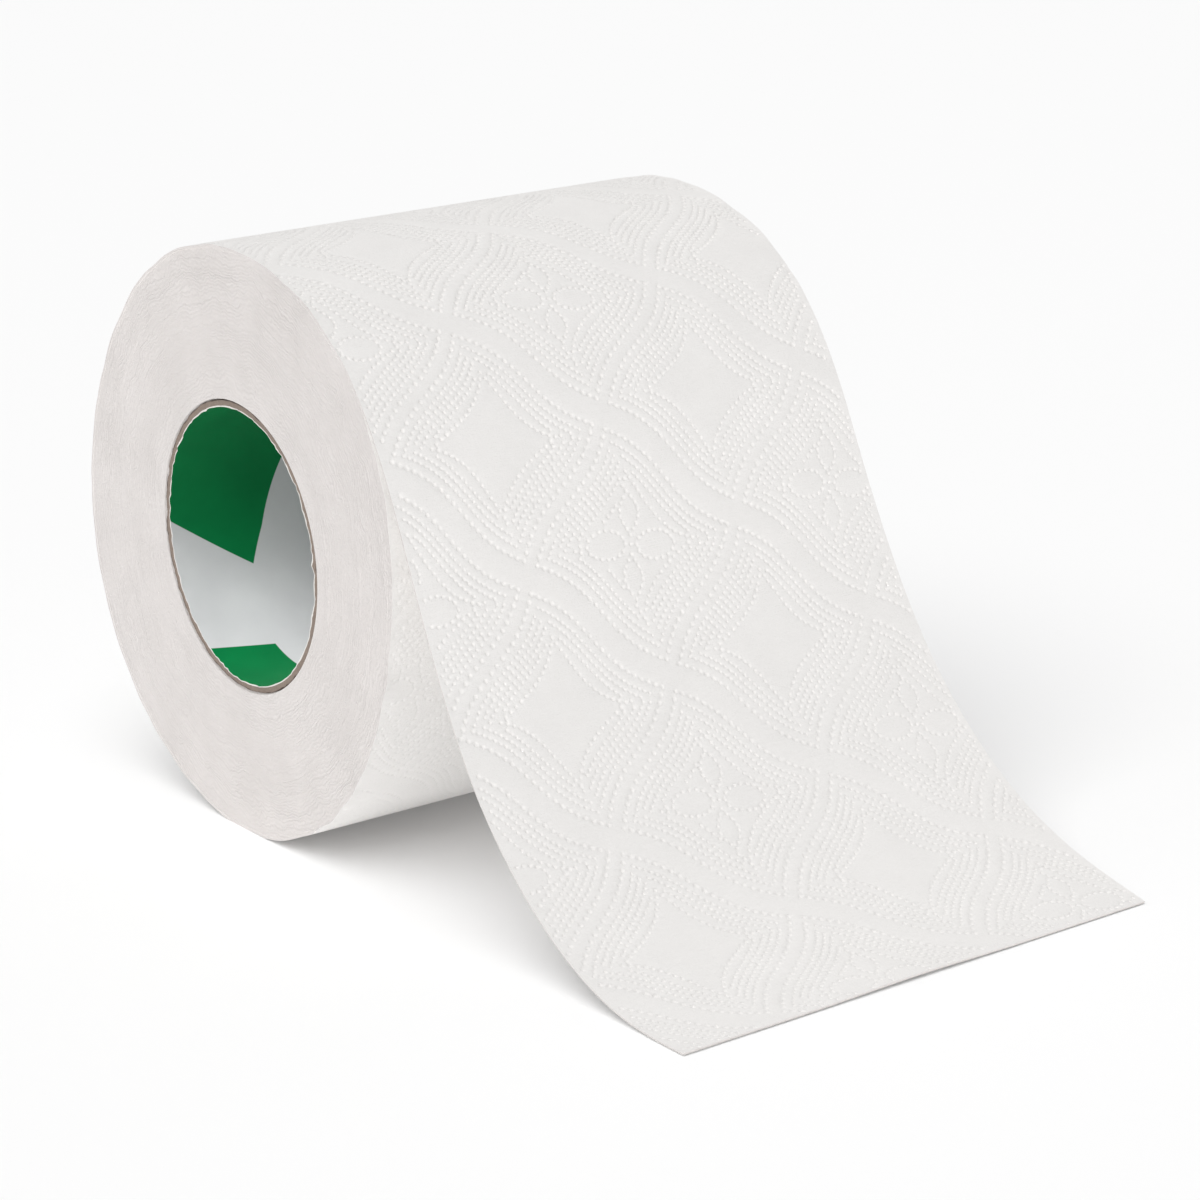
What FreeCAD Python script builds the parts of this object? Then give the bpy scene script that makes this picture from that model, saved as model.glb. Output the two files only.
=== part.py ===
import FreeCAD, Part
import math
import os
import Sketcher

# A toilet paper roll that lies on its side, with its loose end run out in front.
# Millimetres, +Z up. The origin is on the floor, under the middle of the roll.
# +X runs along the roll, and the loose end runs out towards -Y.

SIZES = [
    ("web_width", 92.0, "width of the paper, so length of the roll"),
    ("roll_diameter", 103.0, "outside of the wound turns"),
    ("flat_width", 14.0, "flat spot that the soft roll lies on"),
    ("core_outside", 50.0, "outside diameter of the board tube"),
    ("core_wall", 1.2, "wound board wall with its liner"),
    ("core_inset", 0.4, "how far each end of the tube lies inside the paper"),
    ("core_forward", 1.8, "the tube sits this much nearer the front"),
    ("core_clearance", 0.1, "gap between the tube and the first turn"),
    ("sheet_thickness", 0.6, "embossed sheet, over its bumps"),
    ("takeoff_angle", 30.0, "degrees above the roll's middle where the loose end leaves"),
    ("sweep_radius", 54.0, "curve of the loose end down to the floor"),
    ("floor_run", 2.0, "last stretch, flat on the floor"),
    ("tail_hold", 8.0, "stretch past there that still lies against the turn beneath"),
    ("ring_count", 6, "grooves on each end that stand for the turns"),
    ("ring_width", 0.5, "width of such a groove"),
    ("ring_depth", 0.3, "depth of such a groove"),
]

doc = FreeCAD.newDocument("toilet_paper_roll")
sheet = doc.addObject("Spreadsheet::Sheet", "sizes")
for row, (alias, value, note) in enumerate(SIZES, start=1):
    sheet.set(f"A{row}", note)
    sheet.set(f"B{row}", str(value))
    sheet.setAlias(f"B{row}", alias)
doc.recompute()
size = {alias: sheet.get(alias) for alias, value, note in SIZES}

START, END, CENTRE = range(1, 4)
X_AXIS, Y_AXIS = -1, -2
NORMAL = FreeCAD.Vector(0, 0, 1)


def new_body(label):
    body = doc.addObject("PartDesign::Body", label)
    body.Label = label
    body.Placement = FreeCAD.Placement()
    return body


def new_sketch(body, name):
    """A sketch across the roll's axis: its x is the part's Y, its y the part's Z."""
    sketch = body.newObject("Sketcher::SketchObject", name)
    plane = [f for f in body.Origin.OriginFeatures if f.Role == "YZ_Plane"][0]
    sketch.AttachmentSupport = [(plane, "")]
    sketch.MapMode = "FlatFace"
    return sketch


def hold(sketch, name, expression, *constraint):
    """Adds a dimension to the sketch and binds it to the sheet."""
    sketch.addConstraint(Sketcher.Constraint(*constraint))
    last = sketch.ConstraintCount - 1
    sketch.renameConstraint(last, name)
    sketch.setExpression(f"Constraints.{name}", expression)


def join(sketch, kind, first, first_end, second, second_end):
    sketch.addConstraint(Sketcher.Constraint(kind, first, first_end, second, second_end))


def point(y, z):
    return FreeCAD.Vector(y, z, 0)


def circle(y, z, radius):
    return Part.Circle(point(y, z), NORMAL, radius)


def arc(y, z, radius, from_angle, to_angle):
    return Part.ArcOfCircle(circle(y, z, radius), from_angle, to_angle)


# Places that both pieces share.
roll_radius = size["roll_diameter"] / 2
half_flat = size["flat_width"] / 2
axis_height = math.sqrt(roll_radius ** 2 - half_flat ** 2)
bore_radius = size["core_outside"] / 2 + size["core_clearance"]


def draw_web_outline(sketch):
    """The wound turns and the loose end as one outline, with the tube's hole in it."""
    thick = size["sheet_thickness"]
    next_radius = roll_radius - thick
    next_height = math.sqrt(next_radius ** 2 - half_flat ** 2)
    leave = math.pi - math.radians(size["takeoff_angle"])
    slope = math.pi / 2 - math.radians(size["takeoff_angle"])
    sweep = size["sweep_radius"]
    across = FreeCAD.Vector(math.cos(leave), math.sin(leave), 0)
    down = FreeCAD.Vector(-math.cos(slope), -math.sin(slope), 0)
    middle = point(0, axis_height)

    top_start = middle + across * roll_radius
    straight = (top_start.y - thick - sweep * (1 - math.cos(slope))) / math.sin(slope)
    top_bend = top_start + down * straight
    sweep_y = top_bend.x - sweep * math.sin(slope)
    sweep_z = thick + sweep
    free_end = sweep_y - size["floor_run"]
    under_bend = top_bend - across * thick

    # The space under the loose end starts square to it, tail_hold past the take-off.
    under_start = top_start + down * size["tail_hold"] - across * thick
    reach = under_start - point(0, next_height)
    clear = reach.dot(across) - math.sqrt(next_radius ** 2 - reach.dot(down) ** 2)
    turn_start = under_start - across * clear
    turn_angle = math.atan2(turn_start.y - next_height, turn_start.x)
    flat_front_angle = math.atan2(-next_height, -half_flat)
    flat_back_angle = math.atan2(-axis_height, half_flat)
    bend_angle = math.pi / 2 - slope

    outer_turn = sketch.addGeometry(arc(0, axis_height, roll_radius, flat_back_angle, leave))
    top_line = sketch.addGeometry(Part.LineSegment(top_start, top_bend))
    top_sweep = sketch.addGeometry(arc(sweep_y, sweep_z, sweep, -math.pi / 2, -bend_angle))
    top_run = sketch.addGeometry(Part.LineSegment(point(sweep_y, thick), point(free_end, thick)))
    free_edge = sketch.addGeometry(Part.LineSegment(point(free_end, thick), point(free_end, 0)))
    under_run = sketch.addGeometry(Part.LineSegment(point(free_end, 0), point(sweep_y, 0)))
    under_sweep = sketch.addGeometry(
        arc(sweep_y, sweep_z, sweep + thick, -math.pi / 2, -bend_angle))
    under_line = sketch.addGeometry(Part.LineSegment(under_bend, under_start))
    gap_end = sketch.addGeometry(Part.LineSegment(under_start, turn_start))
    next_turn = sketch.addGeometry(
        arc(0, next_height, next_radius, turn_angle, flat_front_angle + 2 * math.pi))
    flat = sketch.addGeometry(Part.LineSegment(point(-half_flat, 0), point(half_flat, 0)))
    bore = sketch.addGeometry(circle(-size["core_forward"], axis_height, bore_radius))

    join(sketch, "Tangent", outer_turn, END, top_line, START)
    join(sketch, "Tangent", top_line, END, top_sweep, END)
    join(sketch, "Tangent", top_sweep, START, top_run, START)
    join(sketch, "Coincident", top_run, END, free_edge, START)
    join(sketch, "Coincident", free_edge, END, under_run, START)
    join(sketch, "Tangent", under_run, END, under_sweep, START)
    join(sketch, "Tangent", under_sweep, END, under_line, START)
    join(sketch, "Coincident", under_line, END, gap_end, START)
    join(sketch, "Coincident", gap_end, END, next_turn, START)
    join(sketch, "Coincident", next_turn, END, flat, START)
    join(sketch, "Coincident", flat, END, outer_turn, START)
    join(sketch, "Coincident", under_sweep, CENTRE, top_sweep, CENTRE)
    join(sketch, "Horizontal", bore, CENTRE, outer_turn, CENTRE)
    for turn in (outer_turn, next_turn):
        sketch.addConstraint(Sketcher.Constraint("PointOnObject", turn, CENTRE, Y_AXIS))
    sketch.addConstraint(Sketcher.Constraint("PointOnObject", flat, START, X_AXIS))
    sketch.addConstraint(Sketcher.Constraint("PointOnObject", under_run, START, X_AXIS))
    for level in (top_run, under_run, flat):
        sketch.addConstraint(Sketcher.Constraint("Horizontal", level))
    sketch.addConstraint(Sketcher.Constraint("Vertical", free_edge))
    sketch.addConstraint(Sketcher.Constraint("Parallel", top_line, under_line))
    sketch.addConstraint(Sketcher.Constraint("Perpendicular", gap_end, under_line))

    hold(sketch, "roll_radius", "sizes.roll_diameter / 2", "Radius", outer_turn, roll_radius)
    hold(sketch, "next_radius", "sizes.roll_diameter / 2 - sizes.sheet_thickness",
         "Radius", next_turn, next_radius)
    hold(sketch, "flat_back", "sizes.flat_width / 2",
         "DistanceX", -1, START, flat, END, half_flat)
    hold(sketch, "flat_front", "sizes.flat_width / 2",
         "DistanceX", flat, START, -1, START, half_flat)
    hold(sketch, "sweep", "sizes.sweep_radius", "Radius", top_sweep, sweep)
    hold(sketch, "thickness", "sizes.sheet_thickness",
         "DistanceY", free_edge, END, free_edge, START, thick)
    hold(sketch, "run", "sizes.floor_run",
         "DistanceX", top_run, END, top_run, START, size["floor_run"])
    hold(sketch, "hold", "sizes.tail_hold",
         "Distance", top_line, START, gap_end, size["tail_hold"])
    hold(sketch, "leaving", "(90 + sizes.takeoff_angle) * -1 deg",
         "Angle", top_line, -(math.pi / 2 + math.radians(size["takeoff_angle"])))
    hold(sketch, "bore_radius", "sizes.core_outside / 2 + sizes.core_clearance",
         "Radius", bore, bore_radius)
    hold(sketch, "forward", "sizes.core_forward",
         "DistanceX", bore, CENTRE, -1, START, size["core_forward"])


def draw_turn_rings(sketch):
    """Pairs of circles for the grooves. Their middles drift from the tube's to the roll's."""
    count = int(size["ring_count"])
    for ring in range(count):
        share = (ring + 1) / (count + 1)
        middle = -size["core_forward"] * (1 - share)
        radius = bore_radius + share * (roll_radius - size["sheet_thickness"] - bore_radius)
        for side, wall in ((-1, "inner"), (1, "outer")):
            edge = radius + side * size["ring_width"] / 2
            groove = sketch.addGeometry(circle(middle, axis_height, edge))
            hold(sketch, f"{wall}_radius_{ring}",
                 "(sizes.core_outside / 2 + sizes.core_clearance)"
                 f" * {1 - share} + (sizes.roll_diameter / 2 - sizes.sheet_thickness) * {share}"
                 f" + {side} * sizes.ring_width / 2",
                 "Radius", groove, edge)
            hold(sketch, f"{wall}_middle_{ring}", f"sizes.core_forward * {1 - share}",
                 "DistanceX", groove, CENTRE, -1, START, -middle)
            hold(sketch, f"{wall}_height_{ring}",
                 "sqrt((sizes.roll_diameter / 2) ^ 2 - (sizes.flat_width / 2) ^ 2)",
                 "DistanceY", -1, START, groove, CENTRE, axis_height)


# The paper: one continuous embossed web, wound round the tube, its loose end
# hanging down the front and running out on the floor. One piece, so one solid.
paper = new_body("paper_web")
outline = new_sketch(paper, "web_outline")
draw_web_outline(outline)
wound = paper.newObject("PartDesign::Pad", "wound_web")
wound.Profile = outline
wound.SideType = "Symmetric"
wound.setExpression("Length", "sizes.web_width")
doc.recompute()
volume_before_rings = wound.Shape.Volume

rings = new_sketch(paper, "turn_rings")
draw_turn_rings(rings)
rings.setExpression("AttachmentOffset.Base.z", "sizes.web_width / 2")
right_rings = paper.newObject("PartDesign::Pocket", "right_turns")
right_rings.Profile = rings
right_rings.setExpression("Length", "sizes.ring_depth")
doc.recompute()
volume_after_rings = right_rings.Shape.Volume

both_ends = paper.newObject("PartDesign::Mirrored", "both_ends")
both_ends.Originals = [right_rings]
middle_plane = [f for f in paper.Origin.OriginFeatures if f.Role == "YZ_Plane"][0]
both_ends.MirrorPlane = (middle_plane, [""])
paper.Tip = both_ends

# The tube: board wound and glued with its printed liner inside. One piece.
core = new_body("core_tube")
wall = new_sketch(core, "tube_wall")
for name, expression, radius in (
    ("outside", "sizes.core_outside / 2", size["core_outside"] / 2),
    ("inside", "sizes.core_outside / 2 - sizes.core_wall",
     size["core_outside"] / 2 - size["core_wall"]),
):
    edge = wall.addGeometry(circle(-size["core_forward"], axis_height, radius))
    hold(wall, name, expression, "Radius", edge, radius)
    hold(wall, f"{name}_forward", "sizes.core_forward",
         "DistanceX", edge, CENTRE, -1, START, size["core_forward"])
    hold(wall, f"{name}_height",
         "sqrt((sizes.roll_diameter / 2) ^ 2 - (sizes.flat_width / 2) ^ 2)",
         "DistanceY", -1, START, edge, CENTRE, axis_height)
tube = core.newObject("PartDesign::Pad", "wound_board")
tube.Profile = wall
tube.SideType = "Symmetric"
tube.setExpression("Length", "sizes.web_width - 2 * sizes.core_inset")
doc.recompute()

for sketch in (outline, rings, wall):
    if not sketch.FullyConstrained:
        raise RuntimeError(f"{sketch.Name} is not fully held")
for thing in doc.Objects:
    if "Invalid" in thing.State or "Error" in thing.State:
        raise RuntimeError(f"{thing.Name} did not build: {thing.State}")
ring_volume = volume_before_rings - volume_after_rings
if ring_volume <= 0:
    raise RuntimeError("the grooves on the right end cut nothing")
if abs(volume_before_rings - paper.Shape.Volume - 2 * ring_volume) > ring_volume * 0.01:
    raise RuntimeError("the grooves on the left end cut nothing")

os.makedirs("parts", exist_ok=True)
for body in (paper, core):
    if body.Shape.isNull() or not body.Shape.isValid() or len(body.Shape.Solids) != 1:
        raise RuntimeError(f"{body.Label} is not one valid solid")
    body.Shape.exportStep(f"parts/{body.Label}.step")
    box = body.Shape.BoundBox
    print(body.Label, "volume", round(body.Shape.Volume), "box",
          [round(v, 2) for v in (box.XMin, box.YMin, box.ZMin, box.XMax, box.YMax, box.ZMax)])
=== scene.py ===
import math

import bpy
import bmesh
import numpy as np
from mathutils import Matrix, Vector
from mathutils.geometry import delaunay_2d_cdt


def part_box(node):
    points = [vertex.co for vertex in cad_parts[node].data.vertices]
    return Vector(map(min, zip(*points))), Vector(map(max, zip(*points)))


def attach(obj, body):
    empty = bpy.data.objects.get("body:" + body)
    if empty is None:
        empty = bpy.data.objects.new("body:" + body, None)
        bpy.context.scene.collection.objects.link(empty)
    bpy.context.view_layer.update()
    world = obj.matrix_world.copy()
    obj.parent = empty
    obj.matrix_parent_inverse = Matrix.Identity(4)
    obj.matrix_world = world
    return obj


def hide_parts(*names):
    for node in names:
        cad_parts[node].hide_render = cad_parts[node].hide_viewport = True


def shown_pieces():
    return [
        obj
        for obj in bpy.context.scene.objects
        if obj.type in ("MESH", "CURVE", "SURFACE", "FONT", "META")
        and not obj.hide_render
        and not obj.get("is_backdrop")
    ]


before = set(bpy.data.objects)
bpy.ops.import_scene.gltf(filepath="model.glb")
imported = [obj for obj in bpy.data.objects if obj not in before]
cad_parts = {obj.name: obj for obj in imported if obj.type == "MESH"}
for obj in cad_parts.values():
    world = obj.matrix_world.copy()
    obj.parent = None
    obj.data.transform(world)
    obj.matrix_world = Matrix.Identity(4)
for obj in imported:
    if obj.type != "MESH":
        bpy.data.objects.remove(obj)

scene = bpy.context.scene
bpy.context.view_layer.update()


# Core tube. The real one is two strips of grey board wound into a helix and glued, with a
# printed white paper liner inside. It is sawn to length, which leaves its two rims furred.
# Sizes are in mm, here and below.
MM = 0.001
tube_low, tube_high = (np.array(corner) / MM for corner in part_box("core_tube"))
CORE_Y = (tube_low[1] + tube_high[1]) / 2
CORE_Z = (tube_low[2] + tube_high[2]) / 2
CORE_RADIUS = (tube_high[2] - tube_low[2]) / 2
CORE_WALL = 1.2
CORE_HALF_LENGTH = (tube_high[0] - tube_low[0]) / 2
CORE_FACETS = 180
CORE_CUTS = 63
RIM_REACH = 1.2
RIM_FUR = 0.9
RIM_FUR_SIZE = 1.3
RIM_SWELL = 0.55
RIM_SWELL_SIZE = 2.6
LINER_THICKNESS = 0.22
# Where the painted shade on the outer edge of the board's rims begins, past the board's radius, and how
# far its noise moves it.
GAP_SHADE_START = 0.26
GAP_SHADE_SPREAD = 0.9
PRINT_BLUR = 0.12
SMOOTH_BELOW = math.radians(40)
LONG_EDGE = 10
BOARD_GREY = "#6E625A"
BOARD_FIBRE = "#978A80"
# The dark colour of the painted shade at the outer edge of the board's rims.
BOARD_GAP_SHADE = "#4E443E"
LINER_WHITE = "#DEDEDF"
LINER_SHADE = "#C6C6C8"
LINER_EDGE = "#D8D5D1"
INK_GREEN = "#048447"
INK_DEEP = "#026A39"
# Corners of the two green fields, as the place along the tube and round its inside.
UPPER_FIELD = [
    (-52.0, 4.4), (-29.9, -10.7), (-27.6, -3.7), (-22.7, 6.2), (-14.0, 48.0), (-52.0, 60.0)]
LOWER_FIELD = [(-52.0, -53.0), (-33.8, -53.0), (-33.8, -26.8), (-52.0, -23.5)]


def colour(text):
    """An sRGB hex value as linear red, green, blue and alpha."""
    parts = [int(text[k:k + 2], 16) / 255 for k in (1, 3, 5)]
    linear = [c / 12.92 if c <= 0.04045 else ((c + 0.055) / 1.055) ** 2.4 for c in parts]
    return (*linear, 1.0)


def node(material, kind, links=None, output=0, **settings):
    """Adds one node with its settings and what feeds it, and gives the output that is used."""
    tree = material.node_tree
    made = tree.nodes.new("ShaderNode" + kind)
    for name, value in settings.items():
        setattr(made, name, value)
    for socket, source in (links or {}).items():
        target = made.inputs[socket]
        if isinstance(source, bpy.types.NodeSocket):
            tree.links.new(source, target)
        else:
            target.default_value = source
    return made.outputs[output]


def new_material(name, roughness, **sockets):
    """A material of that name with its shader, and the shader's own plain settings."""
    material = bpy.data.materials.new(name)
    material.use_nodes = True
    shader = material.node_tree.nodes["Principled BSDF"]
    shader.inputs["Roughness"].default_value = roughness
    for socket, value in sockets.items():
        shader.inputs[socket.replace("_", " ")].default_value = value
    return material, shader


def feed(shader, **sources):
    """Links the patterns that vary over the surface to the shader."""
    for socket, source in sources.items():
        shader.id_data.links.new(source, shader.inputs[socket.replace("_", " ")])


def printed_side(material, liner_place, start, end):
    """1 on the left of a straight printed border that runs from start to end, both in mm."""
    run, rise = end[0] - start[0], end[1] - start[1]
    length = math.hypot(run, rise)
    shift = (start[0] * rise - start[1] * run) / length
    across_border = (-rise / length, run / length, shift)
    distance = node(
        material, "VectorMath", {0: liner_place, 1: across_border},
        output="Value", operation="DOT_PRODUCT")
    return node(
        material, "Math", {0: distance, 1: 1 / PRINT_BLUR, 2: 0.5},
        operation="MULTIPLY_ADD", use_clamp=True)


def printed_field(material, liner_place, corners):
    """1 inside a convex field whose corners run anticlockwise."""
    inside = 1.0
    for start, end in zip(corners, corners[1:] + corners[:1]):
        side = printed_side(material, liner_place, start, end)
        inside = node(material, "Math", {0: side, 1: inside}, operation="MULTIPLY")
    return inside


# Grey board with its printed liner, in one finish. Raw board is dull, dark grey-brown fibre, with
# painted shade along the outer edge of its rims, where the board meets the tissue and the gap
# between them would be shaded; real fibres are finer than a hair, so they are drawn several times
# coarser. The liner is a smoother white paper with flat green print, and shows wherever a face
# looks towards the axis. Pattern scales are in features a millimetre.
board, board_shader = new_material("grey_core_board_with_printed_liner", 0.9, Specular_IOR_Level=0.12)
place = node(board, "TexCoord", output="Object")
in_mm = node(board, "VectorMath", {0: place, 1: (1 / MM,) * 3}, operation="MULTIPLY")
along, over_y, over_z = (node(board, "SeparateXYZ", {0: in_mm}, output=axis) for axis in range(3))
from_y = node(board, "Math", {0: over_y, 1: CORE_Y}, operation="SUBTRACT")
from_z = node(board, "Math", {0: over_z, 1: CORE_Z}, operation="SUBTRACT")
outwards = node(board, "CombineXYZ", {1: from_y, 2: from_z})
radius = node(board, "VectorMath", {0: outwards}, output="Value", operation="LENGTH")
angle = node(board, "Math", {0: from_z, 1: from_y}, operation="ARCTAN2")
round_liner = node(board, "Math", {0: angle, 1: CORE_RADIUS - CORE_WALL}, operation="MULTIPLY")
liner_place = node(board, "CombineXYZ", {0: along, 1: round_liner, 2: 1.0})
normal = node(board, "TexCoord", output="Normal")
facing = node(board, "VectorMath", {0: normal, 1: outwards}, output="Value", operation="DOT_PRODUCT")
on_liner = node(board, "Math", {0: facing, 1: -CORE_RADIUS / 2}, operation="LESS_THAN")

fibre = node(board, "TexNoise", {"Vector": in_mm, "Scale": 1.6, "Detail": 6.0, "Roughness": 0.7})
fine_fibre = node(board, "TexNoise", {"Vector": in_mm, "Scale": 5.0, "Detail": 3.0})
blot = node(board, "TexNoise", {"Vector": in_mm, "Scale": 0.55, "Detail": 4.0, "Roughness": 0.65})
soft_blot = node(board, "TexNoise", {"Vector": in_mm, "Scale": 0.09, "Detail": 4.0})
rim_colour = node(
    board, "Mix", {"Factor": fibre, 6: colour(BOARD_GREY), 7: colour(BOARD_FIBRE)},
    output=2, data_type="RGBA")
cut_liner = node(
    board, "Math", {0: radius, 1: CORE_RADIUS - CORE_WALL + LINER_THICKNESS}, operation="LESS_THAN")
rim_colour = node(
    board, "Mix", {"Factor": cut_liner, 6: rim_colour, 7: colour(LINER_EDGE)},
    output=2, data_type="RGBA")
# Painted shade: the outer edge of the board's rim, where it meets the tissue, is darkened along a noisy
# line.
gap_shade_reach = node(board, "Math", {0: blot, 1: GAP_SHADE_SPREAD, 2: radius}, operation="MULTIPLY_ADD")
past_start = node(board, "Math", {0: gap_shade_reach, 1: CORE_RADIUS + GAP_SHADE_START}, operation="SUBTRACT")
gap_shaded = node(board, "Math", {0: past_start, 1: 4.0}, operation="MULTIPLY", use_clamp=True)
rim_colour = node(
    board, "Mix", {"Factor": gap_shaded, 6: rim_colour, 7: colour(BOARD_GAP_SHADE)},
    output=2, data_type="RGBA")

green_upper = printed_field(board, liner_place, UPPER_FIELD)
green_lower = printed_field(board, liner_place, LOWER_FIELD)
green = node(board, "Math", {0: green_upper, 1: green_lower}, operation="MAXIMUM")
white = node(
    board, "Mix", {"Factor": soft_blot, 6: colour(LINER_SHADE), 7: colour(LINER_WHITE)},
    output=2, data_type="RGBA")
ink = node(
    board, "Mix", {"Factor": soft_blot, 6: colour(INK_DEEP), 7: colour(INK_GREEN)},
    output=2, data_type="RGBA")
liner = node(board, "Mix", {"Factor": green, 6: white, 7: ink}, output=2, data_type="RGBA")
board_colour = node(
    board, "Mix", {"Factor": on_liner, 6: rim_colour, 7: liner}, output=2, data_type="RGBA")
board_rough = node(board, "Math", {0: on_liner, 1: -0.35, 2: 0.92}, operation="MULTIPLY_ADD")
fur_left = node(board, "Math", {0: on_liner, 1: -0.9, 2: 1.0}, operation="MULTIPLY_ADD")
fur = node(board, "Math", {0: fine_fibre, 1: fur_left}, operation="MULTIPLY")
board_bump = node(board, "Bump", {"Height": fur, "Strength": 0.5, "Distance": 0.25 * MM})
feed(board_shader, Base_Color=board_colour, Roughness=board_rough, Normal=board_bump)

bpy.ops.object.select_all(action="DESELECT")
bpy.ops.mesh.primitive_cylinder_add(
    vertices=CORE_FACETS, radius=CORE_RADIUS * MM, depth=2 * CORE_HALF_LENGTH * MM,
    end_fill_type="NOTHING", location=(0, CORE_Y * MM, CORE_Z * MM), rotation=(0, math.pi / 2, 0))
core = bpy.context.object
core.name = "core_tube_board"
bpy.ops.object.transform_apply(location=True, rotation=True, scale=True)
bpy.ops.object.mode_set(mode="EDIT")
shape = bmesh.from_edit_mesh(core.data)
for edge in shape.edges:
    edge.select = abs(edge.verts[0].co.x - edge.verts[1].co.x) > LONG_EDGE * MM
bmesh.update_edit_mesh(core.data)
bpy.ops.mesh.subdivide(number_cuts=CORE_CUTS)
bpy.ops.object.mode_set(mode="OBJECT")
furred_rims = core.vertex_groups.new(name="furred_rims")
for vertex in core.data.vertices:
    from_rim = CORE_HALF_LENGTH - abs(vertex.co.x) / MM
    if from_rim < RIM_REACH:
        furred_rims.add([vertex.index], 1 - from_rim / RIM_REACH, "REPLACE")
fur_noise = bpy.data.textures.new("rim_fur", "CLOUDS")
fur_noise.noise_scale = RIM_FUR_SIZE * MM
swell_noise = bpy.data.textures.new("rim_swell", "CLOUDS")
swell_noise.noise_scale = RIM_SWELL_SIZE * MM
solid = core.modifiers.new("board_thickness", "SOLIDIFY")
solid.thickness = CORE_WALL * MM
solid.offset = -1
solid.use_even_offset = True
rough_rim = core.modifiers.new("furred_rims", "DISPLACE")
rough_rim.texture = fur_noise
rough_rim.texture_coords = "LOCAL"
rough_rim.vertex_group = "furred_rims"
rough_rim.direction = "X"
rough_rim.strength = RIM_FUR * MM
swollen_rim = core.modifiers.new("swollen_rims", "DISPLACE")
swollen_rim.texture = swell_noise
swollen_rim.texture_coords = "LOCAL"
swollen_rim.vertex_group = "furred_rims"
swollen_rim.direction = "NORMAL"
swollen_rim.strength = RIM_SWELL * MM
for modifier in list(core.modifiers):
    bpy.ops.object.modifier_apply(modifier=modifier.name)
bpy.ops.object.shade_smooth_by_angle(angle=SMOOTH_BELOW)
core.vertex_groups.clear()
core.data.materials.append(board)
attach(core, "root")
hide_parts("core_tube")


# Wound turns. The web is wound tight on the core, some two hundred turns, and the long log is
# sawn into rolls, so each end shows the cut edges of the turns as faint, wavy rings. The roll
# is a little out of round, settles flat where it lies, and is looser towards its far end.
web_low, web_high = (np.array(corner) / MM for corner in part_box("paper_web"))
HALF_WIDTH = (web_high[0] - web_low[0]) / 2
SHEET = 0.45
ROLL_RADIUS = 50.73
ROLL_HEIGHT = 51.15
FAR_END_SWELL = 1.3
# For each number of waves round the roll: how much of its cosine and of its sine it has.
OUT_OF_ROUND = {2: (-0.37, 1.45), 3: (-0.31, 0.21), 4: (-0.16, 0.38), 5: (-0.14, 0.01)}
FLAT_SPOT_DROP = 0.48
FLAT_SPOT_REACH = 1.5
# Where the loose end leaves the roll, at the near and the far end, up from the front.
TAKE_OFF = (math.radians(38.9), math.radians(39.75))
# The last stretch of the outer turn lies under the loose end, so it sinks in by a sheet.
TUCK_START = math.radians(240)
TUCK_LENGTH = math.radians(120)
TUCK_LIFT, MOST_TUCK = 1.15, 1.2
TURN_LINES = 40
LINE_SAMPLES = 3
RING_POINTS = 224
LINE_DEPTH = 0.05
WOBBLE, WOBBLE_SEED, WOBBLE_STEPS = 0.004, 50, 9
BROAD_WAVE, BROAD_SEED, BROAD_STEPS = 0.04, 10, 15
BEAT, SLOW_BEAT = 0.37, 0.091
TURN_LINE_PITCH = 0.62
FACE_INSET = 0.12
CORE_CLEARANCE = 0.1
BORE_CHAMFER = 0.15
CHAMFER_LENGTH = 1.0
TURN_GAP = 0.03
SCALLOPS = range(16, 52)
SCALLOP_SEED = 31
SCALLOP_DEPTH = 0.65
SCALLOP_REACH = 1.6


def across(x):
    """0 at the near end of the roll and 1 at its far end."""
    return (x + HALF_WIDTH) / (2 * HALF_WIDTH)


def roll_section(theta, share, inwards=0.0):
    """Y and Z of the roll's surface at an angle up from the front, a little out of round."""
    radius = ROLL_RADIUS + FAR_END_SWELL * share - inwards
    for waves, (cosine, sine) in OUT_OF_ROUND.items():
        radius = radius + cosine * np.cos(waves * theta) + sine * np.sin(waves * theta)
    y = -radius * np.cos(theta)
    z = ROLL_HEIGHT + FAR_END_SWELL * share + radius * np.sin(theta)
    settled = z - FLAT_SPOT_DROP * np.exp(-(np.maximum(z - inwards, 0) / FLAT_SPOT_REACH) ** 2)
    return y, np.maximum(settled, np.maximum(inwards, 0))


def tucked(theta, share):
    """How far the last part of the outer turn lies under the loose end, in mm."""
    begin = TAKE_OFF[0] + (TAKE_OFF[1] - TAKE_OFF[0]) * share + TUCK_START
    return SHEET * TUCK_LIFT * np.clip((theta - begin) / TUCK_LENGTH, 0, MOST_TUCK)


def new_piece(name, points, faces):
    """A piece made from points in mm and faces that point outwards."""
    mesh = bpy.data.meshes.new(name)
    mesh.from_pydata((np.asarray(points) * MM).tolist(), [], faces)
    mesh.update()
    piece = bpy.data.objects.new(name, mesh)
    scene.collection.objects.link(piece)
    return piece


def waves_round(theta, seed, strength, orders=range(2, 14)):
    """A smooth random waviness round the roll, the same every run."""
    draw = np.random.default_rng(seed)
    total = np.zeros_like(theta)
    for waves in orders:
        total += draw.normal() * np.sin(waves * theta + draw.uniform(0, 2 * math.pi)) / waves
    return strength * total


def scalloped(x, theta):
    """How far the embossing pushes the turns in or out at the roll's two ends, in mm."""
    from_end = HALF_WIDTH - np.abs(x)
    waves = waves_round(theta, SCALLOP_SEED, SCALLOP_DEPTH, SCALLOPS)
    return waves * np.exp(-(from_end / SCALLOP_REACH) ** 2)


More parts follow.
